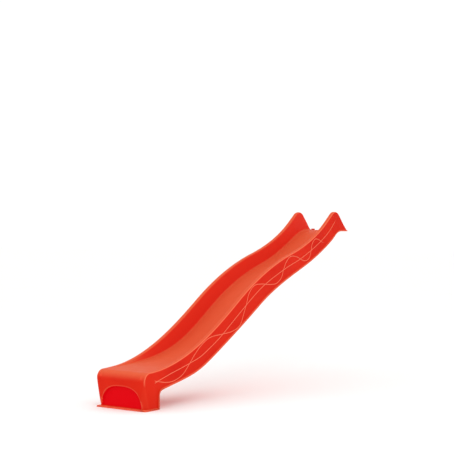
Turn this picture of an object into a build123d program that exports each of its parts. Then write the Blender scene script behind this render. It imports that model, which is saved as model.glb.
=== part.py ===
"""Wave slide for a play tower: a hollow polyethylene moulding with its fixings.

The frame: X runs from the platform lip to the exit, Z is up and the ground is z = 0.
Y = 0 is the slide's plane of symmetry. Distances along the run are counted from the
end of the lip and turned into X by at().
"""

import os
from math import hypot

from build123d import *

# Driving dimensions, in millimetres
RUN = 2645  # lip end to the front of the foot, in plan
PLATFORM = 1200  # height of the deck that the lip rests on
LIP_DEPTH = 100  # flat part of the lip that lies on the deck
LIP_THICK = 12
WALL = 4  # moulded wall thickness
GAP = 0.3  # between pieces that only rest against each other
HALF_WIDTH = 205  # over the side walls, half way down
RIM = 33  # width of the hollow side wall
BED_RADIUS = 16  # bed to side wall
SEAM_FLANGE = 6  # pinched seam that stands out along the lower edge
FOOT_LENGTH = 155  # foot at the ground, front to back

# Fixings on the lip
SCREW_SPACING = 220
SCREW_RUN = 48
SHANK_RADIUS = 3.4
THREAD_RADIUS = 4
THREAD_LENGTH = 34
SCREW_HOLE = 4.5
SCREW_POINT = 8
SCREW_TAPER = 22
HEAD_RADIUS = 7
HEAD_HEIGHT = 4
HEAD_BEVEL = 1.5
SOCKET_RADIUS = 2.9
SOCKET_DEPTH = 2.5
WASHER_RADIUS = 10
WASHER_THICK = 2
CAP_RADIUS = 16
CAP_BASE_THICK = 2.5
RING_RADIUS = 12.5
RING_HEIGHT = 3.5
LID_HEIGHT = 9
LID_WALL = 2
LID_ROUNDING = 5.5

# Fixings on the foot
ARCH_HALF_WIDTH = 178
ARCH_HEIGHT = 158
ARCH_DEPTH = 22
BASE_HALF_WIDTH = 222
BASE_CORNER = 15
ANCHOR_SPACING = 190
ANCHOR_INSET = 8
ANCHOR_BORE = 4.5
EYELET_WALL = 1.5
EYELET_COLLAR = 8

# Tack-off pockets that join the lower wall to the underside of the bed
POCKET_RUNS = [460 + 220 * step for step in range(8)]
POCKET_SIDE = 76
POCKET_LONG = 64
POCKET_WIDE = 96
POCKET_CORNER = 18

# Vent plugs
PLUG_RADIUS = 7
PLUG_HEAD = 11
PLUG_THICK = 2
PLUG_STEM = 3


def slope(start, end):
    """Rise over run of the straight line between two points of the side view."""
    return (end[1] - start[1]) / (end[0] - start[0])


# The side view's straight corners, as (run, height)
EAR_FOOT = (0, PLATFORM + LIP_THICK - 2)
EAR_APEX = (167, 1388)
EAR_FRONT = (300, 1284)
EAR_RADIUS = 72
TOE_BACK = (2578, 256)
TOE = (RUN, 253)
TOE_RADIUS = 58
BELOW = -60  # the side view runs on below the ground, where the pieces are cut level
PAST = 60  # cutting shapes run on past the end of the lip
CLEAR = 100  # and this far above everything
SKIN = 2  # a cutting shape stands this far out of the form that it cuts
TOE_BASE = (RUN - 15, BELOW)
HEEL_BASE = (RUN - FOOT_LENGTH, BELOW)
HEEL = (RUN - FOOT_LENGTH, 123)
HEEL_BACK = (2420, 137)
HEEL_RADIUS = 38

# Its curves, as (run, height, slope) knots
RIM_CURVE = [
    (*EAR_FRONT, slope(EAR_APEX, EAR_FRONT)),
    (850, 1021, -0.29),
    (1550, 690, -0.68),
    (2500, 262, -0.10),
    (*TOE_BACK, slope(TOE_BACK, TOE)),
]
LOWER_CURVE = [
    (LIP_DEPTH, PLATFORM, 0),
    (250, 1125, -0.6),
    (700, 910, -0.37),
    (1300, 641, -0.62),
    (1850, 320, -0.55),
    (2100, 206, -0.3),
    (*HEEL_BACK, slope(HEEL_BACK, HEEL)),
]
BED_CURVE = [
    (80, PLATFORM + LIP_THICK, 0),
    (300, 1138, -0.56),
    (750, 935, -0.3),
    (1300, 698, -0.6),
    (1750, 413, -0.52),
    (2050, 306, -0.22),
    (2450, 263, -0.08),
    (2560, 259, -0.02),
]

# Half of the plan, as (run, half width, slope) knots
SIDE_CURVE = [
    (-40, HALF_WIDTH - 7, 0),
    (1200, HALF_WIDTH, 0.004),
    (2300, HALF_WIDTH + 5, 0.015),
    (2560, HALF_WIDTH + 13, 0.03),
]
FRONT_RADIUS = 30
LEAST_RADIUS = 5  # of an inset corner

PLUG_PLACES = [LOWER_CURVE[2], LOWER_CURVE[5]]

# Levels of the stack on the lip
LIP_TOP = PLATFORM + LIP_THICK
WASHER_LEVEL = LIP_TOP + CAP_BASE_THICK
HEAD_LEVEL = WASHER_LEVEL + WASHER_THICK
THREAD_LEVEL = PLATFORM - 2  # the thread starts just under the lip


def at(run):
    """X of a place along the run."""
    return run - RUN / 2


def pair(run, spacing):
    """Two plan points at one run, spaced across the slide."""
    return [(at(run), -spacing / 2), (at(run), spacing / 2)]


SCREW_POINTS = pair(SCREW_RUN, SCREW_SPACING)
ANCHOR_POINTS = pair(RUN - ARCH_DEPTH + ANCHOR_INSET, ANCHOR_SPACING)
EYELET_HOLE = ANCHOR_BORE + EYELET_WALL + 0.1


def shifted(knots, shift):
    """Knots moved square to their curve, upwards for a positive shift."""
    moved = []
    for run, height, slope in knots:
        long = hypot(1, slope)
        moved.append((run - shift * slope / long, height + shift / long, slope))
    return moved


def smooth(knots):
    """Spline through the knots, with their slopes, as an edge of the open BuildLine."""
    points = [(at(run), height) for run, height, slope in knots]
    return Spline(*points, tangents=[(1, slope) for run, height, slope in knots])


def bent(a, b, c, inset, radius):
    """The bend a-b-c moved to its right by inset, with its corner rounded."""
    first, second = Vector(b) - Vector(a), Vector(c) - Vector(b)
    normals = [Vector(leg.Y, -leg.X).normalized() for leg in (first, second)]
    reach = inset / (1 + normals[0].dot(normals[1]))
    corner = Vector(b) + (normals[0] + normals[1]) * reach
    start, end = Vector(a) + normals[0] * inset, Vector(c) + normals[1] * inset
    points = [(at(point.X), point.Y) for point in (start, corner, end)]
    return FilletPolyline(*points, radius=radius)


def silhouette(top_inset, low_inset):
    """Side view of the slide, cut back by top_inset above and low_inset below."""
    with BuildSketch(Plane.XZ) as face:
        with BuildLine():
            rim = smooth(shifted(RIM_CURVE, -top_inset))
            ear = bent(EAR_FOOT, EAR_APEX, EAR_FRONT, top_inset, EAR_RADIUS - top_inset)
            toe = bent(TOE_BACK, TOE, TOE_BASE, top_inset, TOE_RADIUS - top_inset)
            heel = bent(HEEL_BASE, HEEL, HEEL_BACK, low_inset, HEEL_RADIUS + low_inset)
            lower = smooth(shifted(LOWER_CURVE, low_inset))
            Line(toe @ 1, heel @ 0)
            Polyline(lower @ 0, (at(0), PLATFORM + low_inset), ear @ 0)
        make_face()
    return face.sketch


def plan(inset):
    """Plan view of the slide, cut back by inset all round, open past the lip."""
    corner_radius = max(FRONT_RADIUS - inset, LEAST_RADIUS)
    front = at(RUN - inset)
    with BuildSketch() as face:
        with BuildLine():
            side = smooth(shifted(SIDE_CURVE, -inset))
            width = (side @ 1).Y
            FilletPolyline(side @ 1, (front, width), (front, 0), radius=corner_radius)
            Line(side @ 0, ((side @ 0).X, 0))
            mirror(about=Plane.XZ)
        make_face()
    return face.sketch


def trough(drop):
    """The open space of the slide above the bed, grown by drop into the moulding."""
    with BuildPart() as space:
        with BuildSketch(Plane.XZ):
            with BuildLine():
                bed = smooth(shifted(BED_CURVE, -drop))
                top = EAR_APEX[1] + CLEAR
                Polyline(bed @ 1, ((bed @ 1).X, top), (at(-PAST), top), (at(-PAST), (bed @ 0).Y), bed @ 0)
            make_face()
        extrude(amount=HALF_WIDTH * 2, both=True)
        with BuildSketch():
            add(plan(RIM - drop))
        extrude(amount=2 * EAR_APEX[1], mode=Mode.INTERSECT)
        floor = space.faces().sort_by(Axis.Z)[0]
        fillet(floor.edges().sort_by(SortBy.LENGTH)[-2:], radius=BED_RADIUS + drop)
    return space.part


def moulding(top_inset, low_inset, side_inset):
    """The slide's outer form without its trough, cut back on each side."""
    with BuildPart() as form:
        with BuildSketch(Plane.XZ):
            add(silhouette(top_inset, low_inset))
        extrude(amount=HALF_WIDTH * 2, both=True)
        with BuildSketch(Plane.XY.offset(low_inset)):
            add(plan(side_inset))
        extrude(amount=2 * EAR_APEX[1], mode=Mode.INTERSECT)
    return form.part


def edge_layer(low, high, side_inset):
    """The layer between two insets of the lower edge and the base, out to side_inset."""
    with BuildPart() as layer:
        add(moulding(0, low, side_inset))
        add(moulding(-SKIN, high, side_inset - SKIN), mode=Mode.SUBTRACT)
    return layer.part


def core(bed_drop, low_inset):
    """The space between the bed and the lower wall, cut back by bed_drop and low_inset."""
    with BuildPart() as space:
        with BuildSketch(Plane.XZ):
            with BuildLine():
                bed = smooth(shifted(BED_CURVE, -bed_drop))
                lower = smooth(shifted(LOWER_CURVE, low_inset))
                Line(bed @ 0, lower @ 0)
                Line(bed @ 1, lower @ 1)
            make_face()
        extrude(amount=HALF_WIDTH, both=True)
    return space.part


def columns(inset):
    """Upright columns over the tack-off pockets."""
    long, wide = POCKET_LONG - 2 * inset, POCKET_WIDE - 2 * inset
    with BuildPart() as posts:
        with BuildSketch():
            for run in POCKET_RUNS:
                with Locations((at(run), POCKET_SIDE), (at(run), -POCKET_SIDE)):
                    RectangleRounded(long, wide, POCKET_CORNER - inset)
        extrude(amount=PLATFORM + CLEAR)
    return posts.part


def normal_to(place):
    """Plane that lies on a side curve at one of its knots, facing up out of it."""
    run, height, rise = place
    return Plane(origin=(at(run), 0, height), x_dir=(1, 0, rise), z_dir=(-rise, 0, 1))


def base_plate(level, long):
    """Rounded plate round the foot, one wall thick, that runs long back from the front."""
    with BuildPart() as plate:
        with BuildSketch(Plane.XY.offset(level)):
            with Locations((at(RUN - long / 2), 0)):
                RectangleRounded(long, 2 * BASE_HALF_WIDTH, BASE_CORNER)
        extrude(amount=WALL)
    return plate.part


def arch(grow):
    """The arched recess in the front of the foot, grown on every side."""
    with BuildPart() as recess:
        with BuildSketch(Plane.YZ.offset(at(RUN - ARCH_DEPTH - grow))):
            Ellipse(ARCH_HALF_WIDTH + grow, ARCH_HEIGHT + grow)
            with Locations((0, -RUN + 2 * WALL - grow)):
                Rectangle(2 * RUN, 2 * RUN, mode=Mode.SUBTRACT)
        extrude(amount=ARCH_DEPTH + 2 * WALL)
    return recess.part


def discs(points, radius, level):
    """Round faces at plan points, on the plane at a level."""
    with BuildSketch(Plane.XY.offset(level)) as faces:
        with Locations(*points):
            Circle(radius)
    return faces.sketch


def hexagons(points, radius, level):
    """Six-sided faces at plan points, on the plane at a level."""
    with BuildSketch(Plane.XY.offset(level)) as faces:
        with Locations(*points):
            RegularPolygon(radius, 6)
    return faces.sketch


def hollow():
    """The inside of the upper shell, which stops short of the solid lip."""
    with BuildPart() as space:
        add(moulding(WALL, -5 * WALL, WALL))
        add(trough(WALL), mode=Mode.SUBTRACT)
        add(arch(WALL), mode=Mode.SUBTRACT)
        with Locations((at(0), 0, PLATFORM)):
            Box(2 * LIP_DEPTH + 4 * WALL, 4 * HALF_WIDTH, PLATFORM, mode=Mode.SUBTRACT)
    return space.part


def pockets(inset, clearance, low_inset):
    """The columns under the bed, kept clear of its underside."""
    with BuildPart() as posts:
        add(columns(inset))
        add(core(clearance, low_inset), mode=Mode.INTERSECT)
    return posts.part


def save(piece, name):
    """Labels a finished piece and writes it as a STEP file."""
    piece.part.label = name
    export_step(piece.part, f"parts/{name}.step")
    print(name, "solids", len(piece.part.solids()), "volume", round(piece.part.volume))


os.makedirs("parts", exist_ok=True)

# Upper shell: bed, side walls, rims, ears, lip and foot, open below
with BuildPart() as upper_shell:
    add(moulding(0, WALL, 0))
    add(edge_layer(WALL, 2 * WALL, -SEAM_FLANGE))
    add(base_plate(WALL, FOOT_LENGTH - WALL))
    add(trough(0), mode=Mode.SUBTRACT)
    add(arch(0), mode=Mode.SUBTRACT)
    add(hollow(), mode=Mode.SUBTRACT)
    extrude(discs(SCREW_POINTS, SCREW_HOLE, PLATFORM), amount=2 * LIP_THICK, mode=Mode.SUBTRACT)
    extrude(discs(ANCHOR_POINTS, EYELET_HOLE, 0), amount=3 * WALL, mode=Mode.SUBTRACT)
save(upper_shell, "upper_shell")

# Lower shell: the wall under the bed with its tack-off pockets, the back and base of the foot
with BuildPart() as lower_shell:
    add(edge_layer(0, WALL, -SEAM_FLANGE))
    add(base_plate(0, FOOT_LENGTH + SEAM_FLANGE))
    add(pockets(0, WALL + GAP, WALL / 2))
    add(pockets(WALL, 2 * WALL + GAP, -5 * WALL), mode=Mode.SUBTRACT)
    extrude(discs(SCREW_POINTS, SCREW_HOLE, PLATFORM - WALL), amount=2 * LIP_THICK, mode=Mode.SUBTRACT)
    extrude(discs(ANCHOR_POINTS, EYELET_HOLE, -WALL), amount=3 * WALL, mode=Mode.SUBTRACT)
    with Locations(*[normal_to(place) for place in PLUG_PLACES]):
        Cylinder(PLUG_RADIUS + GAP, 4 * WALL, mode=Mode.SUBTRACT)
save(lower_shell, "lower_shell")

# Two screws that hold the lip down on the deck, each with a hexagon socket
with BuildPart() as lip_screws:
    extrude(discs(SCREW_POINTS, HEAD_RADIUS, HEAD_LEVEL), amount=HEAD_HEIGHT)
    chamfer(lip_screws.edges().group_by(Axis.Z)[-1], length=HEAD_BEVEL)
    sockets = hexagons(SCREW_POINTS, SOCKET_RADIUS, HEAD_LEVEL + HEAD_HEIGHT)
    extrude(sockets, amount=-SOCKET_DEPTH, mode=Mode.SUBTRACT)
    extrude(discs(SCREW_POINTS, SHANK_RADIUS, HEAD_LEVEL), amount=THREAD_LEVEL - HEAD_LEVEL)
    extrude(discs(SCREW_POINTS, THREAD_RADIUS, THREAD_LEVEL), amount=-THREAD_LENGTH)
    points = discs(SCREW_POINTS, THREAD_RADIUS, THREAD_LEVEL - THREAD_LENGTH)
    extrude(points, amount=-SCREW_POINT, taper=SCREW_TAPER)
save(lip_screws, "lip_screws")

# Steel washers under the screw heads
with BuildPart() as lip_washers:
    extrude(discs(SCREW_POINTS, WASHER_RADIUS, WASHER_LEVEL), amount=WASHER_THICK)
    extrude(discs(SCREW_POINTS, SCREW_HOLE, WASHER_LEVEL), amount=WASHER_THICK, mode=Mode.SUBTRACT)
save(lip_washers, "lip_washers")

# Cap collars: a disc under the washer with an upright ring that the lid clips over
with BuildPart() as cap_collars:
    extrude(discs(SCREW_POINTS, CAP_RADIUS, LIP_TOP), amount=CAP_BASE_THICK)
    extrude(discs(SCREW_POINTS, RING_RADIUS, WASHER_LEVEL), amount=RING_HEIGHT)
    extrude(
        discs(SCREW_POINTS, WASHER_RADIUS + GAP, WASHER_LEVEL), amount=RING_HEIGHT, mode=Mode.SUBTRACT
    )
    extrude(discs(SCREW_POINTS, SCREW_HOLE, LIP_TOP), amount=CAP_BASE_THICK, mode=Mode.SUBTRACT)
save(cap_collars, "cap_collars")

# Cap lids: low domes that cover the screw heads
with BuildPart() as cap_lids:
    extrude(discs(SCREW_POINTS, CAP_RADIUS, WASHER_LEVEL), amount=LID_HEIGHT)
    fillet(cap_lids.edges().group_by(Axis.Z)[-1], radius=LID_ROUNDING)
    room = discs(SCREW_POINTS, RING_RADIUS + GAP, WASHER_LEVEL)
    extrude(room, amount=LID_HEIGHT - LID_WALL, mode=Mode.SUBTRACT)
save(cap_lids, "cap_lids")

# Eyelets that line the ground anchor holes
with BuildPart() as anchor_eyelets:
    extrude(discs(ANCHOR_POINTS, ANCHOR_BORE + EYELET_WALL, 0), amount=2 * WALL + EYELET_WALL)
    extrude(discs(ANCHOR_POINTS, EYELET_COLLAR, 2 * WALL), amount=EYELET_WALL)
    extrude(discs(ANCHOR_POINTS, ANCHOR_BORE, 0), amount=4 * WALL, mode=Mode.SUBTRACT)
save(anchor_eyelets, "anchor_eyelets")

# Vent plugs that close the blow holes in the lower shell
with BuildPart() as vent_plugs:
    for place in PLUG_PLACES:
        with BuildSketch(normal_to(place).offset(-GAP)):
            Circle(PLUG_HEAD)
        extrude(amount=-PLUG_THICK)
        with BuildSketch(normal_to(place).offset(-GAP)):
            Circle(PLUG_RADIUS)
        extrude(amount=WALL + PLUG_STEM)
save(vent_plugs, "vent_plugs")
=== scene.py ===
# %% [markdown]
# # A wave slide for a play tower
# The slide is one hollow polyethylene moulding with a small bag of fixings. Its size and places come
# from the engineering model, so that model is loaded first as a fixed frame, in metres. X runs from the
# platform lip to the exit, Z is up and the slide is symmetric about y = 0.

# %% Load the frame
import bpy
import bmesh
import math
import numpy as np
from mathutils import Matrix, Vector


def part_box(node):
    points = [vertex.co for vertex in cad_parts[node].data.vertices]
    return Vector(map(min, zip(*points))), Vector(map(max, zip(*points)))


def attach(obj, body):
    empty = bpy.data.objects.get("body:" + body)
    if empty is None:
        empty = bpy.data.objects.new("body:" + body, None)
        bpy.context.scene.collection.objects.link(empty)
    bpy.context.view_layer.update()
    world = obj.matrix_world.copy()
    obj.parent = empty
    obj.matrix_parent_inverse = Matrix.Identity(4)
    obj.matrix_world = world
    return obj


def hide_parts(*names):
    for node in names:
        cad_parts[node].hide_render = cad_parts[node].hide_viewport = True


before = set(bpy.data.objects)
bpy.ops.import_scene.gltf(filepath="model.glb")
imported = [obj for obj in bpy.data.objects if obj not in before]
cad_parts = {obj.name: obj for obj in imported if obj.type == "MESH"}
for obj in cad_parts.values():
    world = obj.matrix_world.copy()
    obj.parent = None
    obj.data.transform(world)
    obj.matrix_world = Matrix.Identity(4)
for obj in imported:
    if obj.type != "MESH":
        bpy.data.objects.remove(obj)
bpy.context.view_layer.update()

# %% [markdown]
# ## Driving sizes
# A maker of such a slide would draw it from a few sizes: how long it is, how high the deck is, how thick
# the plastic is. Where a size can be read off the frame, it is, so the looks can't drift away from it.
# The side view is a handful of knots, each with a place along the run, a height and a slope.

# %% Sizes read from the frame
shell_low, shell_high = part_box("upper_shell")
RUN = shell_high.x - shell_low.x
LIP_X = shell_low.x
DECK = 1.200
WALL = 0.004
LIP_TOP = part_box("cap_collars")[0].z
HALF_WIDTH = 0.205
RIM = 0.033
SEAM_FLANGE = 0.006
print("run", round(RUN, 3), "lip top", round(LIP_TOP, 3), "half width", HALF_WIDTH)


# %% Knots of the side view, as (run, height, slope)
def rise(start, end):
    """Slope of the straight line between two points of the side view."""
    return (end[1] - start[1]) / (end[0] - start[0])


EAR_FOOT, EAR_APEX, EAR_FRONT = (0, LIP_TOP - 0.002), (0.167, 1.388), (0.300, 1.284)
TOE_BACK, TOE, TOE_BASE = (2.578, 0.256), (RUN, 0.253), (RUN - 0.014, 0.0)
HEEL_BACK, HEEL, HEEL_BASE = (2.420, 0.137), (RUN - 0.155, 0.123), (RUN - 0.155, 0.0)
EAR_RADIUS, TOE_RADIUS, HEEL_RADIUS = 0.072, 0.058, 0.038

RIM_KNOTS = [
    (*EAR_FRONT, rise(EAR_APEX, EAR_FRONT)),
    (0.850, 1.021, -0.29),
    (1.550, 0.690, -0.68),
    (2.500, 0.262, -0.10),
    (*TOE_BACK, rise(TOE_BACK, TOE)),
]
LOWER_KNOTS = [
    (0.100, DECK, 0),
    (0.250, 1.125, -0.6),
    (0.700, 0.910, -0.37),
    (1.300, 0.641, -0.62),
    (1.850, 0.320, -0.55),
    (2.100, 0.206, -0.3),
    (*HEEL_BACK, rise(HEEL_BACK, HEEL)),
]
BED_KNOTS = [
    (0.080, LIP_TOP, 0),
    (0.300, 1.138, -0.56),
    (0.750, 0.935, -0.3),
    (1.300, 0.698, -0.6),
    (1.750, 0.413, -0.52),
    (2.050, 0.306, -0.22),
    (2.450, 0.263, -0.08),
    (2.560, 0.259, -0.02),
]
SIDE_KNOTS = [
    (-0.040, HALF_WIDTH - 0.007, 0),
    (1.200, HALF_WIDTH, 0.004),
    (2.300, HALF_WIDTH + 0.005, 0.015),
    (2.560, HALF_WIDTH + 0.016, 0.03),
]
print("rim, lower edge and bed have", len(RIM_KNOTS), len(LOWER_KNOTS), len(BED_KNOTS), "knots")

# %% [markdown]
# ## From knots to curves
# Between two knots the moulding follows a cubic with the knots' own slopes, the way a flexible batten
# bends between pins. The corners of the ear, toe and heel are plain arcs. Blender could draw these as
# Bezier objects, but the shell needs the numbers, so small functions return the points instead.


# %% Curve helpers
def batten(knots, shift=0.0, steps=48):
    """Points on the smooth curve through the knots, moved square to it by shift."""
    points = []
    placed = []
    for run, height, slope in knots:
        long = math.hypot(1, slope)
        moved = np.array([run - shift * slope / long, height + shift / long])
        placed.append((moved, np.array([1, slope]) / long))
    for (p, u), (q, v) in zip(placed, placed[1:]):
        chord = np.linalg.norm(q - p)
        for t in np.linspace(0, 1, steps, endpoint=False):
            a, b = 2 * t**3 - 3 * t**2 + 1, t**3 - 2 * t**2 + t
            c, d = 3 * t**2 - 2 * t**3, t**3 - t**2
            points.append(a * p + b * chord * u + c * q + d * chord * v)
    points.append(placed[-1][0])
    return np.array(points)


def round_corner(a, b, c, radius, steps=16):
    """Arc that rounds the corner b of the path a-b-c."""
    a, b, c = np.array(a), np.array(b), np.array(c)
    u, v = (a - b) / np.linalg.norm(a - b), (c - b) / np.linalg.norm(c - b)
    half = math.acos(np.clip(u @ v, -1, 1)) / 2
    bisector = (u + v) / np.linalg.norm(u + v)
    centre = b + bisector * radius / math.sin(half)
    start, end = b + u * radius / math.tan(half) - centre, b + v * radius / math.tan(half) - centre
    turn = math.atan2(start[0] * end[1] - start[1] * end[0], start @ end)
    angles = np.linspace(0, turn, steps)
    return np.array([centre + [start[0] * math.cos(w) - start[1] * math.sin(w),
                               start[0] * math.sin(w) + start[1] * math.cos(w)] for w in angles])


def walk(path, count, first=0.0, last=1.0):
    """count points spaced evenly along a path, between two fractions of its length."""
    gaps = np.linalg.norm(np.diff(path, axis=0), axis=1)
    far = np.concatenate([[0], np.cumsum(gaps)])
    wanted = np.linspace(first, last, count) * far[-1]
    return np.stack([np.interp(wanted, far, path[:, i]) for i in range(2)], axis=1)


def height_on(path, run):
    """Height of a path at a place along the run."""
    return np.interp(run, path[:, 0], path[:, 1])


print("a batten through the rim's knots has", len(batten(RIM_KNOTS)), "points")

# %% The side view's paths
BED_END = (2.62, 0.262)
ear = round_corner(EAR_FOOT, EAR_APEX, EAR_FRONT, EAR_RADIUS)
rim_path = np.vstack([[EAR_FOOT], ear, batten(RIM_KNOTS)])
toe = round_corner(TOE_BACK, TOE, TOE_BASE, TOE_RADIUS)
bed_path = np.vstack([[(0, LIP_TOP)], batten(BED_KNOTS), [BED_END]])
heel = round_corner(HEEL_BACK, HEEL, HEEL_BASE, HEEL_RADIUS)
side_path = batten(SIDE_KNOTS)
print("ear top", round(ear[:, 1].max(), 3), "m")

# %% [markdown]
# ## The upper shell
# On the real slide the bed, the two hollow side walls, the ears and the foot are one skin about 4 mm
# thick. It could be cut from a block with booleans, but those leave ragged faces along the waves. Here
# the skin is woven from sections instead: at each station a line runs from the top outline to the lower
# edge, and the same cross-section is hung on it: bed, fillet, inner wall, rounded rim, outer wall. Round
# the toe the lines fan out, so the bed rolls over into the front of the foot with no seam. Only the half
# with y > 0 is woven, and a Mirror modifier makes the other one.

# %% Stations along the slide
LIP_ROUND = 0.007
SEAM_TOP = 2 * WALL
FLANGE_FOOT = 0.006
CORNER_RADIUS = 0.050
CORNER_REACH = 0.065
BASE_FOOT = SEAM_TOP + FLANGE_FOOT
LIP_STATIONS, EAR_STATIONS, LONG_STATIONS = 7, 44, 124
TOE_STATIONS, FRONT_STATIONS = 14, 50
EAR_START, FOOT_SHARE = 0.010, 0.25
NO_LIMIT = 9.0


def lip_edge(run):
    """Height of the rounded end of the lip, which nothing may stand above."""
    if run >= LIP_ROUND:
        return NO_LIMIT
    return LIP_TOP - LIP_ROUND + math.sqrt(LIP_ROUND**2 - (LIP_ROUND - run) ** 2)


def heel_at(inset, count):
    """Points down the back of the foot, inset from its outer side, to the corner above the base."""
    back, turn = np.array(HEEL_BACK), np.array(HEEL)
    leg = (turn - back) / np.linalg.norm(turn - back)
    normal = np.array([-leg[1], leg[0]])
    corner = np.array([turn[0] + inset, (back + normal * inset + leg * (turn[0] - back[0]))[1]])
    arc = round_corner(back + normal * inset, corner, corner - [0, 1], HEEL_RADIUS + inset)
    return walk(np.vstack([arc, [(corner[0], inset)]]), count)


def straight_stations():
    """Upright sections from the lip to the start of the foot: top, bed depth, wall foot, seam."""
    wall_foot = np.vstack([[(0, DECK + BASE_FOOT)], batten(LOWER_KNOTS, BASE_FOOT)])
    seam = np.vstack([[(0, DECK + SEAM_TOP)], batten(LOWER_KNOTS, SEAM_TOP)])
    lip_runs = LIP_ROUND * (1 - np.cos(np.linspace(0, math.pi / 2, LIP_STATIONS)))
    ear_runs = np.linspace(EAR_START, EAR_FRONT[0], EAR_STATIONS)
    long_runs = np.linspace(EAR_FRONT[0], HEEL_BACK[0], LONG_STATIONS)[1:]
    made = []
    for run in np.concatenate([lip_runs, ear_runs, long_runs]):
        top = min(height_on(rim_path, run), lip_edge(run))
        bed = min(height_on(bed_path, run), lip_edge(run))
        low = min(height_on(seam, run), top)
        foot = min(height_on(wall_foot, run), low + (1 - FOOT_SHARE) * (top - low))
        depth = max(top - bed, 0.0)
        made.append((np.array([run, top]), depth, np.array([run, foot]), np.array([run, low])))
    return made


def foot_stations():
    """Sections that fan out round the foot, from the heel to the base of its front."""
    front_base = np.array([TOE_BASE[0], BASE_FOOT])
    rim_end = rim_path[rim_path[:, 0] >= HEEL_BACK[0]]
    rim_tops = walk(np.vstack([rim_end, toe[:1]]), TOE_STATIONS)[1:]
    tops = np.vstack([rim_tops, walk(toe, TOE_STATIONS)[1:]])
    front = walk(np.array([toe[-1], front_base]), FRONT_STATIONS + 1)[1:]
    heel = heel_at(BASE_FOOT, len(tops) + 1)[1:]
    seam = heel_at(SEAM_TOP, len(tops) + 1)[1:]
    base_end = TOE_BASE[0] - CORNER_REACH
    base_runs = np.linspace(heel[-1][0], base_end, len(front) + 1)[1:]
    made = []
    for top, foot, low in zip(tops, heel, seam):
        made.append((top, max(top[1] - height_on(bed_path, top[0]), 0.0), foot, low))
    for top, run in zip(front, base_runs):
        made.append((top, 0.0, np.array([run, BASE_FOOT]), np.array([run, SEAM_TOP])))
    return made


stations = straight_stations() + foot_stations()
print(len(stations), "stations")

# %% [markdown]
# ## The cross-section
# A moulded wall leans a few millimetres so that it comes out of its mould, and no edge on it is
# sharp. So the section has a draft on both walls, a slightly crowned rim between two radii, and a wide
# fillet down to the bed. Every station has the same number of points, which keeps the skin all quads.
# Where the rim sinks into the bed the radii shrink with the depth, and the quads stay well shaped.

# %% Points of one section
BED_COLUMNS, FILLET_COLUMNS, WALL_COLUMNS = 34, 7, 7
EDGE_COLUMNS, RIM_COLUMNS, TURN_COLUMNS, SIDE_COLUMNS = 5, 4, 10, 14
BED_FILLET = 0.014
INNER_DRAFT = 0.007
RIM_INNER_RADIUS, RIM_OUTER_RADIUS = 0.007, 0.008
RIM_CROWN, RIM_LEAST = 0.0012, 0.004
TOE_LOW = 0.215
TOP_DRAFT = 0.004
FOOT_DRAFT = 0.006
FOOT_DRAFT_TOP = 0.19
FOOT_START = 2.42
FOOT_BLEND, LIP_BLEND = 0.1, 0.05
DEPTH_SHARE = 0.45
FRONT_SHARE, SIDE_SHARE, CROWN_SHARE = 0.9, 0.6, 0.2
CORNER_GROWTH = 0.8
TINY = 1e-9


def half_width(run, height, drop):
    """Half width of the outer wall; drop is 0 at the rim and 1 at the lower edge."""
    taper = np.clip((run - FOOT_START) / FOOT_BLEND, 0, 1) * np.clip(1 - height / FOOT_DRAFT_TOP, 0, 1)
    draft = TOP_DRAFT * (1 - drop) * np.clip(run / LIP_BLEND, 0, 1)
    return height_on(side_path, run) - draft - FOOT_DRAFT * taper


def section(top, depth, foot):
    """Half of the cross-section, from the middle of the bed to the foot of the outer wall."""
    long = np.linalg.norm(foot - top)
    along = (foot - top) / max(long, TINY)
    front = 0
    if top[0] > FOOT_START:
        front = np.clip((TOE_LOW - top[1]) / (TOE_LOW - BASE_FOOT), 0, 1)
    outer_radius = RIM_OUTER_RADIUS + (CORNER_RADIUS - RIM_OUTER_RADIUS) * front**CORNER_GROWTH
    outer_depth = min(outer_radius, (FRONT_SHARE if front else SIDE_SHARE) * long)
    crown = min(RIM_CROWN, CROWN_SHARE * depth)
    edge = half_width(top[0], top[1], 0)
    inside = min(edge - RIM, edge - outer_radius - RIM_INNER_RADIUS - RIM_LEAST)
    bed_side = inside - INNER_DRAFT
    fillet_depth = min(BED_FILLET, DEPTH_SHARE * depth)
    rim_depth = min(RIM_INNER_RADIUS, DEPTH_SHARE * depth)
    points = [(y, depth) for y in np.linspace(0, bed_side - BED_FILLET, BED_COLUMNS + 1)]
    for angle in np.linspace(0, math.pi / 2, FILLET_COLUMNS + 1)[1:]:
        across = bed_side - BED_FILLET * (1 - math.sin(angle))
        points.append((across, depth - fillet_depth * (1 - math.cos(angle))))
    for share in np.linspace(0, 1, WALL_COLUMNS + 1)[1:]:
        high, low = rim_depth, depth - fillet_depth
        points.append((bed_side + INNER_DRAFT * share, low + (high - low) * share))
    for angle in np.linspace(0, math.pi / 2, EDGE_COLUMNS + 1)[1:]:
        lift = (rim_depth - crown) * math.sin(angle)
        points.append((inside + RIM_INNER_RADIUS * (1 - math.cos(angle)), rim_depth - lift))
    rim_start, rim_end = inside + RIM_INNER_RADIUS, edge - outer_radius
    for share in np.linspace(0, 1, RIM_COLUMNS + 1)[1:]:
        points.append((rim_start + (rim_end - rim_start) * share, crown * (2 * share - 1) ** 2))
    for angle in np.linspace(0, math.pi / 2, TURN_COLUMNS + 1)[1:]:
        fall = crown + (outer_depth - crown) * (1 - math.cos(angle))
        points.append((rim_end + outer_radius * math.sin(angle), fall))
    for share in np.linspace(0, 1, SIDE_COLUMNS + 1)[1:]:
        points.append((edge, outer_depth + (long - outer_depth) * share))
    placed = []
    for y, fall in points:
        run, height = top + along * fall
        drop = fall / max(long, TINY)
        wider = half_width(run, height, drop) - edge
        grown = y + wider * np.clip((y - inside) / RIM, 0, 1)
        placed.append(np.array([run, grown, height]))
    return placed


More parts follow.
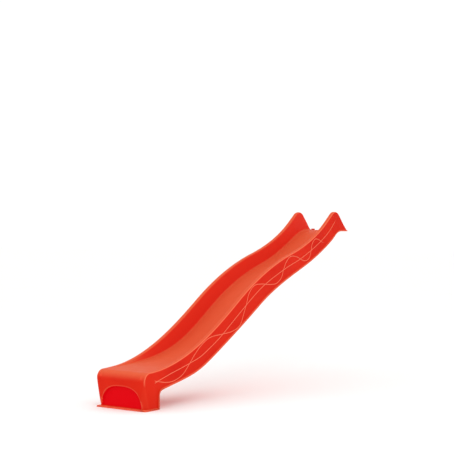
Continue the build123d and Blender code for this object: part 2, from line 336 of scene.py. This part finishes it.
rows = [section(top, depth, foot) for top, depth, foot, low in stations]
print(len(rows[0]), "points in each half section")

# %% [markdown]
# ## The arch in the foot
# The front of the foot has an arched panel pressed about 2 cm in, with soft edges. A real mould simply
# has a raised pad there. A boolean would cut it with a hard edge that needs a bevel, so the woven points
# of the front face are pushed in instead, by a smooth step that follows the arch's outline.

# %% Press the arch in
ARCH_HALF_WIDTH, ARCH_HEIGHT, ARCH_SQUARE = 0.180, 0.158, 2.6
ARCH_FACE = RUN - 0.026
ARCH_SOFT = 0.011


def smooth_step(value):
    """0 to 1 with a smooth start and end."""
    value = np.clip(value, 0, 1)
    return value * value * (3 - 2 * value)


def arch_reach(y, height):
    """1 on the arch's outline, less inside it."""
    across, up = abs(y) / ARCH_HALF_WIDTH, height / ARCH_HEIGHT
    return (across**ARCH_SQUARE + up**ARCH_SQUARE) ** (1 / ARCH_SQUARE)


def pressed(point):
    """A point of the front face, moved in where it lies inside the arch."""
    run, y, height = point
    reach = arch_reach(y, height)
    inside = (1 - reach) * math.hypot(y, height) / max(reach, 1e-6)
    if run < ARCH_FACE:
        return point
    return np.array([run + (ARCH_FACE - run) * smooth_step(inside / ARCH_SOFT), y, height])


for index in range(len(rows) - FRONT_STATIONS, len(rows)):
    rows[index] = [pressed(point) for point in rows[index]]
print("arch face", round(rows[-1][0][0], 4), "behind the toe by", round(RUN - rows[-1][0][0], 4), "m")

# %% [markdown]
# ## The seam flange
# The two halves of the moulding meet in a thin flange along the lower edge, and round the base of the
# foot it widens into a plate that stands on the ground. It is a strip woven on to the free edge of the
# skin: three rows turn the wall outwards over a small radius, and the last row is the trimmed edge.

# %% The free edge and the flange strip
PLATE_HALF, PLATE_FRONT = 0.220, RUN - 0.001
PLATE_CORNER = 0.016
ARCH_FOOT = 0.003
FLANGE_STEPS = [(0.10, 0.55), (0.40, 0.90), (1.0, 1.0)]
LEAST_REACH = 0.0005
PANEL_GAP = 0.004


def side_edge(index):
    """Where the flange is trimmed beside one station."""
    top, depth, foot, low = stations[index]
    seam_y = half_width(low[0], low[1], 1) + SEAM_FLANGE
    if low[1] > SEAM_TOP + 1e-6:
        return np.array([low[0], seam_y, low[1]])
    spread = smooth_step((low[0] - HEEL[0] - SEAM_TOP) / PLATE_CORNER)
    return np.array([low[0], seam_y + (PLATE_HALF - seam_y) * spread, SEAM_TOP])


def front_edge(point, angle):
    """Where the plate is trimmed beside a point of the last section, which faces along angle."""
    if angle <= 0:
        return np.array([point[0], PLATE_HALF, SEAM_TOP])
    if angle >= math.pi / 2:
        return np.array([PLATE_FRONT, min(point[1], PLATE_HALF - PLATE_CORNER), SEAM_TOP])
    centre = np.array([PLATE_FRONT - PLATE_CORNER, PLATE_HALF - PLATE_CORNER])
    out = centre + PLATE_CORNER * np.array([math.sin(angle), math.cos(angle)])
    return np.array([out[0], out[1], SEAM_TOP])


def flange_row(point, low, edge, angle, foot_reach):
    """Points from the wall out over the radius to the trimmed edge."""
    out = np.array([math.sin(angle), math.cos(angle)])
    made = []
    for reach, fall in FLANGE_STEPS:
        step = foot_reach * reach
        made.append(np.array([point[0] + out[0] * step + (low[0] - point[0]) * fall,
                              point[1] + out[1] * step, point[2] + (low[1] - point[2]) * fall]))
    made.append(edge)
    return made


corner_start = len(rows[-1]) - 1 - SIDE_COLUMNS
boundary, flange = [], []
for index, (top, depth, foot, low) in enumerate(stations):
    boundary.append((index, len(rows[index]) - 1))
    reach = min(FLANGE_FOOT, max(foot[1] - low[1], LEAST_REACH))
    flange.append(flange_row(rows[index][-1], low, side_edge(index), 0, reach))
last = len(rows) - 1
for column in range(len(rows[-1]) - 2, -1, -1):
    point = rows[-1][column]
    turned = np.clip((corner_start - column) / TURN_COLUMNS, 0, 1) * math.pi / 2
    pressed_in = point[0] < TOE_BASE[0] - PANEL_GAP and turned >= math.pi / 2
    reach = ARCH_FOOT if pressed_in else FLANGE_FOOT
    boundary.append((last, column))
    low = np.array([point[0], SEAM_TOP])
    flange.append(flange_row(point, low, front_edge(point, turned), turned, reach))
print(len(flange), "strips in the flange")


# %% Weave the skin
INNER_FOOT = BED_COLUMNS + FILLET_COLUMNS // 2
INNER_TOP = BED_COLUMNS + FILLET_COLUMNS + WALL_COLUMNS + EDGE_COLUMNS - 1
RIM_EDGE = INNER_TOP + 1 + RIM_COLUMNS
# Below the first height here the painted highlight on the rim's outer corner is gone; the flange value is
# the painted highlight along the flange edge.
EDGE_GONE = 0.165
FLANGE_HIGHLIGHT = 0.7
SAME_PLACE, MIRROR_MERGE = 0.00005, 0.0002


def at(point):
    """A (run, y, height) point in the frame."""
    return (point[0] + LIP_X, point[1], point[2])


def weave(name, rows, boundary, flange):
    """Half skin with its flange; the edge layer marks painted highlights on the rim's outer corner and the
    flange, the inner layer the inner walls.
    """
    mesh = bmesh.new()
    highlighted = mesh.verts.layers.float.new("edge")
    inner = mesh.verts.layers.float.new("inner")
    grid = [[mesh.verts.new(at(point)) for point in row] for row in rows]
    for row, (top, depth, foot, low) in zip(grid, stations):
        # The rim's outer corner carries a painted highlight, fading out down the front of the foot.
        fade = np.clip((top[1] - EDGE_GONE) / (TOE_LOW - EDGE_GONE), 0, 1)
        for column in range(RIM_EDGE, RIM_EDGE + TURN_COLUMNS + 1):
            row[column][highlighted] = fade * math.sin(math.pi * (column - RIM_EDGE) / TURN_COLUMNS) ** 2
        # The inner walls above the foot are marked for painted light that lifts the shade between the walls.
        for column in range(INNER_FOOT, INNER_TOP + 1):
            row[column][inner] = 1 if top[1] > TOE_LOW else 0
    for row, following in zip(grid, grid[1:]):
        for a, b, c, d in zip(row, row[1:], following[1:], following):
            mesh.faces.new((a, b, c, d))
    strips = []
    for (index, column), points in zip(boundary, flange):
        strip = [grid[index][column]] + [mesh.verts.new(at(point)) for point in points]
        # The flange's outer rows carry a painted highlight line.
        strip[-1][highlighted] = strip[-2][highlighted] = FLANGE_HIGHLIGHT
        strips.append(strip)
    for strip, following in zip(strips, strips[1:]):
        for a, b, c, d in zip(strip, strip[1:], following[1:], following):
            mesh.faces.new((a, b, c, d))
    bmesh.ops.remove_doubles(mesh, verts=mesh.verts[:], dist=SAME_PLACE)
    if sum(face.normal.z for face in mesh.faces) < 0:
        bmesh.ops.reverse_faces(mesh, faces=mesh.faces[:])
    data = bpy.data.meshes.new(name)
    mesh.to_mesh(data)
    mesh.free()
    made = bpy.data.objects.new(name, data)
    bpy.context.scene.collection.objects.link(made)
    return made


def applied(source, name, sharp=40):
    """The object's evaluated mesh as a plain object, smooth but for its sharp edges."""
    source.data.update()
    graph = bpy.context.evaluated_depsgraph_get()
    data = bpy.data.meshes.new_from_object(source.evaluated_get(graph))
    bpy.data.objects.remove(source)
    data.name = name
    data.polygons.foreach_set("use_smooth", [True] * len(data.polygons))
    data.set_sharp_from_angle(angle=math.radians(sharp))
    made = bpy.data.objects.new(name, data)
    bpy.context.scene.collection.objects.link(made)
    return made


# The edge layer holds a painted highlight along the rim's outer corner.
print("the rubbed edge starts at column", RIM_EDGE, "and the inner wall at", INNER_FOOT)

# %% Mirror it and give it its thickness
half_skin = weave("half_skin", rows, boundary, flange)
mirror = half_skin.modifiers.new("mirror", "MIRROR")
mirror.use_axis = (False, True, False)
mirror.use_mirror_merge = True
mirror.merge_threshold = MIRROR_MERGE
thicken = half_skin.modifiers.new("thicken", "SOLIDIFY")
thicken.thickness = WALL
thicken.offset = -1
print("half skin", len(half_skin.data.polygons), "faces")

# %% [markdown]
# ## Holes through the shell
# The maker drills the holes for the lip screws and the ground anchors after moulding. They are true
# holes, so they are cut with one Boolean modifier, whose cutter is four short drill bodies built from
# rings of points. The collars and the eyelets cover the rims of the holes.

# %% Shape of a drill
DRILL_SIDES = 40


def ring(centre, normal, radius, sides):
    """Points on a circle round centre, square to normal."""
    normal = Vector(normal).normalized()
    across = normal.orthogonal().normalized()
    around = normal.cross(across)
    turns = [math.tau * k / sides for k in range(sides)]
    return [Vector(centre) + radius * (math.cos(w) * across + math.sin(w) * around) for w in turns]


def drill(mesh, centre, normal, radius, reach):
    """Adds a closed drill body to the mesh."""
    ends = []
    for side in (-reach, reach):
        middle = Vector(centre) + Vector(normal).normalized() * side
        ends.append([mesh.verts.new(point) for point in ring(middle, normal, radius, DRILL_SIDES)])
    for k in range(DRILL_SIDES):
        after = (k + 1) % DRILL_SIDES
        mesh.faces.new((ends[0][k], ends[0][after], ends[1][after], ends[1][k]))
    mesh.faces.new(list(reversed(ends[0])))
    mesh.faces.new(ends[1])


print("drills with", DRILL_SIDES, "sides")

# %% Cut the holes
SCREW_RUN, SCREW_Y = 0.048, 0.110
ANCHOR_RUN, ANCHOR_Y = RUN - 0.014, 0.095
SCREW_HOLE, EYELET_HOLE = 0.0045, 0.0061
SCREW_REACH, ANCHOR_REACH = 0.02, 0.01
cutter_mesh = bmesh.new()
for side in (-1, 1):
    drill(cutter_mesh, (SCREW_RUN + LIP_X, side * SCREW_Y, LIP_TOP), (0, 0, 1), SCREW_HOLE, SCREW_REACH)
    drill(cutter_mesh, (ANCHOR_RUN + LIP_X, side * ANCHOR_Y, SEAM_TOP), (0, 0, 1), EYELET_HOLE, ANCHOR_REACH)
bmesh.ops.recalc_face_normals(cutter_mesh, faces=cutter_mesh.faces[:])
cutter_data = bpy.data.meshes.new("cutter")
cutter_mesh.to_mesh(cutter_data)
cutter_mesh.free()
cutter = bpy.data.objects.new("cutter", cutter_data)
bpy.context.scene.collection.objects.link(cutter)
holes = half_skin.modifiers.new("holes", "BOOLEAN")
holes.operation = "DIFFERENCE"
holes.solver = "EXACT"
holes.object = cutter
shell = applied(half_skin, "moulded_shell")
bpy.data.objects.remove(cutter)
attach(shell, "root")
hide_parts("upper_shell")
print("moulded shell", len(shell.data.polygons), "faces")

# %% [markdown]
# ## The wave lines on the side walls
# Two raised lines run down each outer wall, a long gentle one and one that rolls like a wave, and the
# gentle one ends in a small fish tail. In the mould they are engraved grooves, so on the slide they are
# ribs with a rounded back, about 5 mm wide and 2 mm proud. Each is a strip swept along a smooth path
# that lies on the wall, with a half-round section that thins to a point at its ends.

# %% Paths of the lines, as (run, height)
STEM = [
    (0.170, 1.300), (0.290, 1.194), (0.440, 1.105), (0.590, 1.035), (0.740, 0.974), (0.880, 0.930),
    (1.020, 0.879), (1.160, 0.823), (1.290, 0.760), (1.420, 0.681), (1.550, 0.596), (1.680, 0.509),
    (1.800, 0.430), (1.920, 0.365), (2.030, 0.313), (2.150, 0.279), (2.260, 0.251), (2.370, 0.226),
    (2.510, 0.191),
]
WAVE = [
    (2.510, 0.191), (2.420, 0.175), (2.330, 0.176), (2.230, 0.209), (2.150, 0.277), (2.090, 0.335),
    (2.000, 0.402), (1.900, 0.444), (1.760, 0.456), (1.640, 0.469), (1.550, 0.508), (1.500, 0.590),
    (1.465, 0.660), (1.430, 0.735), (1.360, 0.792), (1.270, 0.800), (1.160, 0.793), (1.070, 0.798),
    (1.000, 0.840), (0.965, 0.905), (0.930, 0.955), (0.870, 1.000), (0.780, 0.999), (0.700, 0.971),
    (0.640, 0.966), (0.590, 0.990), (0.565, 1.045), (0.545, 1.100), (0.500, 1.136), (0.450, 1.133),
    (0.395, 1.112), (0.340, 1.104),
]
TAIL_UP = [(2.500, 0.192), (2.525, 0.193), (2.545, 0.200)]
TAIL_DOWN = [(2.500, 0.190), (2.525, 0.186), (2.545, 0.178)]


# %% Helpers for a rib
def through(points, steps):
    """Smooth path through the points (Catmull-Rom)."""
    points = np.array(points)
    padded = np.vstack([2 * points[0] - points[1], points, 2 * points[-1] - points[-2]])
    path = []
    for k in range(1, len(padded) - 2):
        before, start, end, after = padded[k - 1:k + 3]
        for t in np.linspace(0, 1, steps, endpoint=False):
            bend = 2 * start + (end - before) * t + (2 * before - 5 * start + 4 * end - after) * t**2
            path.append(0.5 * (bend + (3 * start - before - 3 * end + after) * t**3))
    path.append(padded[-2])
    return np.array(path)


seam_path = np.vstack([[(0, DECK + BASE_FOOT)], batten(LOWER_KNOTS, BASE_FOOT), heel_at(BASE_FOOT, 20)])


def wall_y(run, height):
    """Half width of the outer wall at a place in the side view."""
    high, low = height_on(rim_path, run), height_on(seam_path, run)
    return half_width(run, height, np.clip((high - height) / (high - low), 0, 1))


print("the wall is", round(float(wall_y(*STEM[0])), 4), "m from the middle where the long line starts")

# %% A rib
RIB_HALF, RIB_PROUD, RIB_ROOT, RIB_SPACING = 0.0026, 0.0020, 0.0012, 0.006
RIB_TURNS, PATH_STEPS = 8, 24
RIB_START, RIB_LEAST, RIB_SUNK = 0.002, 0.08, 0.0002
RIB_BACK = 0.8


def add_rib(mesh, points, side, fade_in, fade_out):
    """Sweeps a half-round rib along a path on one outer wall, thinning over the fades."""
    path = through(points, PATH_STEPS)
    long = np.linalg.norm(np.diff(path, axis=0), axis=1).sum()
    path = walk(path, int(long / RIB_SPACING) + 2)
    hoops = []
    for index, (run, height) in enumerate(path):
        before, after = path[max(index - 1, 0)], path[min(index + 1, len(path) - 1)]
        tangent = (after - before) / np.linalg.norm(after - before)
        across = np.array([-tangent[1], tangent[0]])
        gone, left = index * RIB_SPACING, (len(path) - 1 - index) * RIB_SPACING
        growing = smooth_step((gone + RIB_START) / fade_in)
        size = max(growing * smooth_step((left + RIB_START) / fade_out), RIB_LEAST)
        hoop = []
        for turn in np.linspace(0, math.pi, RIB_TURNS + 1):
            place = path[index] + across * RIB_HALF * size * math.cos(turn)
            lift = RIB_PROUD * size * math.sin(turn) ** RIB_BACK - RIB_SUNK
            y = wall_y(place[0], place[1]) + lift
            hoop.append(mesh.verts.new(at((place[0], side * y, place[1]))))
        sunk = path[index]
        y = wall_y(sunk[0], sunk[1]) - RIB_ROOT
        hoop.append(mesh.verts.new(at((sunk[0], side * y, sunk[1]))))
        hoops.append(hoop)
    for hoop, following in zip(hoops, hoops[1:]):
        for k in range(len(hoop)):
            after = (k + 1) % len(hoop)
            mesh.faces.new((hoop[k], hoop[after], following[after], following[k]))
    mesh.faces.new(hoops[0])
    mesh.faces.new(list(reversed(hoops[-1])))


print("a rib is", 2 * RIB_HALF * 1000, "mm wide and", RIB_PROUD * 1000, "mm proud")

# %% Sweep the ribs
STEM_FADES, WAVE_FADES, TAIL_FADES = (0.06, 0.004), (0.03, 0.12), (0.002, 0.016)
RIB_SHARP = 50
ribs_mesh = bmesh.new()
for side in (-1, 1):
    add_rib(ribs_mesh, STEM, side, *STEM_FADES)
    add_rib(ribs_mesh, WAVE, side, *WAVE_FADES)
    add_rib(ribs_mesh, TAIL_UP, side, *TAIL_FADES)
    add_rib(ribs_mesh, TAIL_DOWN, side, *TAIL_FADES)
bmesh.ops.recalc_face_normals(ribs_mesh, faces=ribs_mesh.faces[:])
ribs_data = bpy.data.meshes.new("wave_ribs")
ribs_mesh.to_mesh(ribs_data)
ribs_mesh.free()
ribs_data.polygons.foreach_set("use_smooth", [True] * len(ribs_data.polygons))
ribs_data.set_sharp_from_angle(angle=math.radians(RIB_SHARP))
ribs = bpy.data.objects.new("wave_ribs", ribs_data)
bpy.context.scene.collection.objects.link(ribs)
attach(ribs, "root")
print("wave ribs", len(ribs_data.polygons), "faces")

# %% [markdown]
# ## The moulded red plastic
# The colour is in the polyethylene itself, so it is even, and what tells the eye it is plastic is the
# surface: a very fine skin texture from the mould, a soft gloss, faint clouds where the plastic flowed
# and small scuffs on the bed. Light is painted into the colour as well: faces that point up are painted a
# lighter orange for the light from above, the inner walls are painted paler to lift the shade that falls
# between the walls, and edges, the rim's outer corner and the flange carry painted highlights. Each is one
# branch of nodes that ends in the colour, the roughness or the bump. The two values that were woven into
# the skin say where the edges and the inner walls are. An image texture would be quicker, but it would
# need unwrapping and would blur close up.


# %% Node helpers
def linear(red, green, blue):
    """A 0 to 255 screen colour as the linear colour that the shader takes."""
    def one(value):
        value /= 255
        return value / 12.92 if value <= 0.04045 else ((value + 0.055) / 1.055) ** 2.4
    return (one(red), one(green), one(blue), 1)


class Finish:
    """A material being built: makes nodes and joins them."""

    def __init__(self, name):
        self.material = bpy.data.materials.new(name)
        self.material.use_nodes = True
        self.tree = self.material.node_tree
        self.shader = self.tree.nodes["Principled BSDF"]
        self.place = self.node("ShaderNodeTexCoord").outputs["Object"]

    def node(self, kind, **settings):
        made = self.tree.nodes.new(kind)
        for name, value in settings.items():
            setattr(made, name, value)
        return made

    def join(self, source, target):
        if hasattr(source, "is_output"):
            self.tree.links.new(source, target)
        else:
            target.default_value = source

    def noise(self, scale, detail=2.0, stretch=(1, 1, 1), distortion=0.0):
        """Noise from 0 to 1 at a scale per metre."""
        mapping = self.node("ShaderNodeMapping")
        mapping.inputs["Scale"].default_value = stretch
        self.join(self.place, mapping.inputs["Vector"])
        made = self.node("ShaderNodeTexNoise")
        self.join(mapping.outputs["Vector"], made.inputs["Vector"])
        made.inputs["Scale"].default_value = scale
        made.inputs["Detail"].default_value = detail
        made.inputs["Distortion"].default_value = distortion
        return made.outputs["Fac"]

    def spread(self, value, low, high, start=0.0, end=1.0):
        """Maps low..high to start..end, held at both ends."""
        made = self.node("ShaderNodeMapRange", clamp=True)
        for name, number in (("From Min", low), ("From Max", high), ("To Min", start), ("To Max", end)):
            made.inputs[name].default_value = number
        self.join(value, made.inputs["Value"])
        return made.outputs["Result"]

    def maths(self, operation, first, second):
        made = self.node("ShaderNodeMath", operation=operation)
        self.join(first, made.inputs[0])
        self.join(second, made.inputs[1])
        return made.outputs["Value"]

    def bump(self, height, strength, distance, under=None):
        made = self.node("ShaderNodeBump")
        made.inputs["Strength"].default_value = strength
        made.inputs["Distance"].default_value = distance
        self.join(height, made.inputs["Height"])
        if under is not None:
            self.join(under, made.inputs["Normal"])
        return made.outputs["Normal"]


def colour_mix(finish, share, first, second):
    """Colour between two others; its sockets share their names, so they are found by identifier."""
    made = finish.node("ShaderNodeMix", data_type="RGBA")
    sockets = {socket.identifier: socket for socket in made.inputs}
    finish.join(share, sockets["Factor_Float"])
    finish.join(first, sockets["A_Color"])
    finish.join(second, sockets["B_Color"])
    results = {socket.identifier: socket for socket in made.outputs}
    return results["Result_Color"]


print("mid grey on a screen is", round(linear(128, 128, 128)[0], 3), "of full light")

# %% The reds
BODY, CLOUD = linear(218, 41, 20), linear(208, 33, 16)
# On the next line the first colour serves the scuffs and the painted edge highlights, the second is painted
# light on faces that point up, and the third is painted light on the inner walls.
WORN_AND_HIGHLIGHT, UP_FACING_LIGHT, INNER_PAINTED_LIGHT = linear(242, 118, 86), linear(221, 89, 55), linear(232, 58, 40)
# The panel's deeper red is painted shade in the pressed-in arch, and the ribs' paler red is a painted
# highlight on their rounded backs.
PANEL_SHADE, RIB_HIGHLIGHT = linear(222, 0, 14), linear(240, 118, 90)
print("the plastic's own red is", [round(value, 3) for value in BODY[:3]])

# %% Red moulded polyethylene, with noise scales per metre
CLOUD_SCALE, FLECK_SCALE, PATCH_SCALE = 3.5, 240.0, 5.0
SCRATCH_SCALE, SCRATCH_STRETCH = 9.0, (1, 26, 1)
GLOSS_SCALE, GRAIN_SCALE, WAVE_SCALE = 14.0, 620.0, 16.0
# The second and third shares set the strength of the painted light on the inner walls and of the painted
# edge highlight.
FLECK_SHARE, INNER_LIGHT_SHARE, EDGE_HIGHLIGHT_SHARE, SCUFF_SHARE = 0.10, 0.85, 0.9, 0.24
SCUFF_ROUGHNESS = 0.16


def moulded_red(name, body, cloud, worn_and_highlight, up_facing_light, gloss, scuffed):
    """Red plastic with mould texture, faint clouds and a scuffed bed, with painted highlights on its edges
    and painted light on its inner walls and on faces that point up.
    """
    finish = Finish(name)
    clouds = finish.spread(finish.noise(CLOUD_SCALE, 4.0, distortion=0.4), 0.35, 0.68)
    flecks = finish.spread(finish.noise(FLECK_SCALE, 3.0), 0.40, 0.66)
    geometry = finish.node("ShaderNodeNewGeometry")
    # Convex edges, found by pointiness, get a painted highlight.
    edges = finish.spread(geometry.outputs["Pointiness"], 0.505, 0.56, 0.0, 0.55)
    colour = colour_mix(finish, clouds, body, cloud)
    colour = colour_mix(finish, finish.maths("MULTIPLY", flecks, FLECK_SHARE), colour, cloud)
    split = finish.node("ShaderNodeSeparateXYZ")
    finish.join(geometry.outputs["Normal"], split.inputs["Vector"])
    # The inner walls are painted paler, as painted light that lifts the shade falling between the walls.
    inner = finish.node("ShaderNodeAttribute", attribute_name="inner").outputs["Fac"]
    colour = colour_mix(finish, finish.maths("MULTIPLY", inner, INNER_LIGHT_SHARE), colour, INNER_PAINTED_LIGHT)
    # Faces that point up are painted a lighter orange, as painted light from above; the same mask also keeps
    # the scuffs to the bed.
    facing_up = finish.spread(split.outputs["Z"], 0.12, 0.80)
    colour = colour_mix(finish, facing_up, colour, up_facing_light)
    # The woven edge layer adds painted highlight on the rim's outer corner and the flange; both highlights
    # are mixed to the pale colour that the scuffs use too.
    highlighted = finish.node("ShaderNodeAttribute", attribute_name="edge").outputs["Fac"]
    edges = finish.maths("MAXIMUM", edges, finish.maths("MULTIPLY", highlighted, EDGE_HIGHLIGHT_SHARE))
    colour = colour_mix(finish, edges, colour, worn_and_highlight)
    lines = finish.noise(SCRATCH_SCALE, 5.0, stretch=SCRATCH_STRETCH, distortion=0.2)
    scratches = finish.spread(lines, 0.53, 0.70)
    patches = finish.spread(finish.noise(PATCH_SCALE, 3.0), 0.42, 0.62)
    wear = finish.maths("MULTIPLY", finish.maths("MULTIPLY", scratches, patches), facing_up)
    wear = finish.maths("MULTIPLY", wear, scuffed)
    colour = colour_mix(finish, finish.maths("MULTIPLY", wear, SCUFF_SHARE), colour, worn_and_highlight)
    finish.join(colour, finish.shader.inputs["Base Color"])
    rough = finish.spread(finish.noise(GLOSS_SCALE, 4.0), 0.3, 0.7, gloss - 0.04, gloss + 0.06)
    rough = finish.maths("ADD", rough, finish.maths("MULTIPLY", wear, SCUFF_ROUGHNESS))
    finish.join(rough, finish.shader.inputs["Roughness"])
    grain = finish.bump(finish.noise(GRAIN_SCALE, 3.0), 0.16, 0.0005)
    waves = finish.bump(finish.noise(WAVE_SCALE, 2.0), 0.10, 0.004, grain)
    scored = finish.bump(scratches, 0.05 * scuffed, 0.0004, waves)
    finish.join(scored, finish.shader.inputs["Normal"])
    finish.shader.inputs["IOR"].default_value = 1.48
    finish.shader.inputs["Specular IOR Level"].default_value = 0.035
    finish.shader.inputs["Subsurface Weight"].default_value = 0.04
    finish.shader.inputs["Subsurface Radius"].default_value = (0.012, 0.003, 0.002)
    finish.shader.inputs["Subsurface Scale"].default_value = 1.0
    return finish.material


# %% Give the shell its reds, the pressed-in arch panel its painted shade and the ribs their painted highlight
PANEL_BACK, PANEL_REACH, PANEL_FACING = 0.002, 0.985, 0.2
shell_red = moulded_red("shell_red", BODY, CLOUD, WORN_AND_HIGHLIGHT, UP_FACING_LIGHT, 0.46, 1.0)
panel_shade_red = moulded_red("panel_shade_red", PANEL_SHADE, PANEL_SHADE, BODY, PANEL_SHADE, 0.40, 0.0)
rib_highlight_red = moulded_red("rib_highlight_red", RIB_HIGHLIGHT, RIB_HIGHLIGHT, WORN_AND_HIGHLIGHT, RIB_HIGHLIGHT, 0.34, 0.0)
cap_red = moulded_red("cap_red", BODY, CLOUD, WORN_AND_HIGHLIGHT, BODY, 0.30, 0.0)
shell.data.materials.clear()
shell.data.materials.append(shell_red)
shell.data.materials.append(panel_shade_red)
# Faces of the pressed-in panel take the deeper red, as painted shade of the recess.
for face in shell.data.polygons:
    run, y, height = face.center.x - LIP_X, face.center.y, face.center.z
    pressed_panel = run > ARCH_FACE - PANEL_BACK and arch_reach(y, height) < PANEL_REACH
    if pressed_panel and height > BASE_FOOT and face.normal.x > PANEL_FACING:
        face.material_index = 1
ribs.data.materials.append(rib_highlight_red)
print("moulded finishes", shell_red.name, rib_highlight_red.name, cap_red.name)

# %% [markdown]
# ## The fixings
# The fixings are bought parts: zinc-plated screws and washers, red plastic caps and eyelets, and black
# nylon plugs. Their engineering shapes are already right, so they stay, but a real moulded or
# pressed part has no knife edges. A Weld and a Bevel modifier give each a small edge radius, which
# catches the light, without touching the engineering mesh itself.


# %% Finishes of the fixings
def plated(name):
    """Zinc plate: bright grey with a blotchy grain and fine turning marks."""
    finish = Finish(name)
    crystals = finish.node("ShaderNodeTexVoronoi")
    crystals.inputs["Scale"].default_value = 700.0
    finish.join(finish.place, crystals.inputs["Vector"])
    blotches = finish.spread(finish.noise(160.0, 4.0), 0.35, 0.65)
    colour = colour_mix(finish, blotches, linear(186, 190, 194), linear(160, 163, 166))
    finish.join(colour, finish.shader.inputs["Base Color"])
    finish.shader.inputs["Metallic"].default_value = 1.0
    finish.join(finish.spread(blotches, 0.0, 1.0, 0.26, 0.42), finish.shader.inputs["Roughness"])
    turning = finish.bump(finish.noise(900.0, 2.0, stretch=(1, 1, 8)), 0.12, 0.0002)
    spangle = finish.bump(crystals.outputs["Distance"], 0.06, 0.0002, turning)
    finish.join(spangle, finish.shader.inputs["Normal"])
    return finish.material


def moulded_black(name, tone, gloss, grain):
    """Black nylon with a fine grain and slightly dusty variation."""
    finish = Finish(name)
    dust = finish.spread(finish.noise(60.0, 4.0), 0.45, 0.75)
    colour = colour_mix(finish, dust, tone, linear(58, 57, 55))
    finish.join(colour, finish.shader.inputs["Base Color"])
    finish.join(finish.spread(dust, 0.0, 1.0, gloss, gloss + 0.14), finish.shader.inputs["Roughness"])
    finish.join(finish.bump(finish.noise(1100.0, 3.0), grain, 0.0003), finish.shader.inputs["Normal"])
    return finish.material


SAME_POINT, EDGE_ANGLE = 0.00002, 35


def soften(node, width):
    """Rounds the edges of an engineering node with modifiers only."""
    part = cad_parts[node]
    weld = part.modifiers.new("weld", "WELD")
    weld.merge_threshold = SAME_POINT
    bevel = part.modifiers.new("edge_radius", "BEVEL")
    bevel.width = width
    bevel.segments = 2
    bevel.limit_method = "ANGLE"
    bevel.angle_limit = math.radians(EDGE_ANGLE)
    bevel.use_clamp_overlap = True
    bevel.harden_normals = False


def finish_node(node, material, width):
    """Gives an engineering node its material and edge radius."""
    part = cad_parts[node]
    part.data.materials.clear()
    part.data.materials.append(material)
    if width:
        soften(node, width)


# %% Finish every engineering node that shows
zinc = plated("fixing_steel")
nylon = moulded_black("plug_black", linear(24, 24, 25), 0.38, 0.20)
FINISHES = [
    ("lower_shell", shell_red, 0),
    ("cap_collars", cap_red, 0.0004), ("cap_lids", cap_red, 0.0012),
    ("lip_screws", zinc, 0.0003), ("lip_washers", zinc, 0.0003), ("anchor_eyelets", cap_red, 0.0003),
    ("vent_plugs", nylon, 0.0004),
]
for node, material, width in FINISHES:
    finish_node(node, material, width)
print(len(FINISHES), "engineering nodes finished")

# %% [markdown]
# ## Floor, light and camera
# A part for a library is shown plainly: a pale floor, a white sky, a large soft key light from above the
# front and a weak fill, so that every side is readable and shadows stay faint. The camera stands level
# with the deck, some way off the front corner, with a long lens that keeps the slide's lines nearly
# parallel.

# %% Floor
FLOOR_HALF, FLOOR_CELLS, FLOOR_DROP = 60.0, 12, 0.0005
floor_mesh = bmesh.new()
bmesh.ops.create_grid(floor_mesh, x_segments=FLOOR_CELLS, y_segments=FLOOR_CELLS, size=FLOOR_HALF)
floor_data = bpy.data.meshes.new("floor")
floor_mesh.to_mesh(floor_data)
floor_mesh.free()
floor = bpy.data.objects.new("floor", floor_data)
floor.location.z = -FLOOR_DROP
bpy.context.scene.collection.objects.link(floor)
paper = Finish("floor_paper")
tone = colour_mix(paper, paper.noise(1.2, 3.0), linear(250, 250, 249), linear(253, 253, 252))
paper.join(tone, paper.shader.inputs["Base Color"])
paper.shader.inputs["Roughness"].default_value = 0.9
paper.shader.inputs["Specular IOR Level"].default_value = 0.1
floor.data.materials.append(paper.material)
print("floor", 2 * FLOOR_HALF, "m square")

# %% Light
SKY = 1.04
world = bpy.data.worlds.new("studio")
bpy.context.scene.world = world
world.use_nodes = True
world.node_tree.nodes["Background"].inputs["Color"].default_value = (1, 1, 1, 1)
world.node_tree.nodes["Background"].inputs["Strength"].default_value = SKY


def soft_light(name, place, aim, size, power):
    """A large square area light that points at aim."""
    data = bpy.data.lights.new(name, "AREA")
    data.shape = "SQUARE"
    data.size = size
    data.energy = power
    lamp = bpy.data.objects.new(name, data)
    lamp.location = place
    lamp.rotation_euler = (Vector(aim) - Vector(place)).to_track_quat("-Z", "Y").to_euler()
    bpy.context.scene.collection.objects.link(lamp)
    return lamp


soft_light("key_light", (2.6, 3.2, 4.6), (0, 0, 0.5), 2.6, 38)
soft_light("fill_light", (3.6, -3.4, 2.8), (0, 0, 0.6), 2.4, 10)
bpy.context.scene.view_settings.view_transform = "Standard"
print("sky", SKY, "and two soft lights")

# %% Camera
EYE = (7.2075, 5.270, 1.200)
HEADING, PITCH = 36.6, 0.211
LENS, SENSOR = 92.54, 36
camera_data = bpy.data.cameras.new("camera")
camera_data.sensor_width = SENSOR
camera_data.lens = LENS
camera = bpy.data.objects.new("camera", camera_data)
camera.location = EYE
heading, pitch = math.radians(HEADING), math.radians(PITCH)
aim = Vector((-math.cos(heading), -math.sin(heading), math.tan(pitch)))
camera.rotation_euler = aim.to_track_quat("-Z", "Y").to_euler()
bpy.context.scene.collection.objects.link(camera)
bpy.context.scene.camera = camera
print("camera at", EYE, "lens", LENS, "mm")
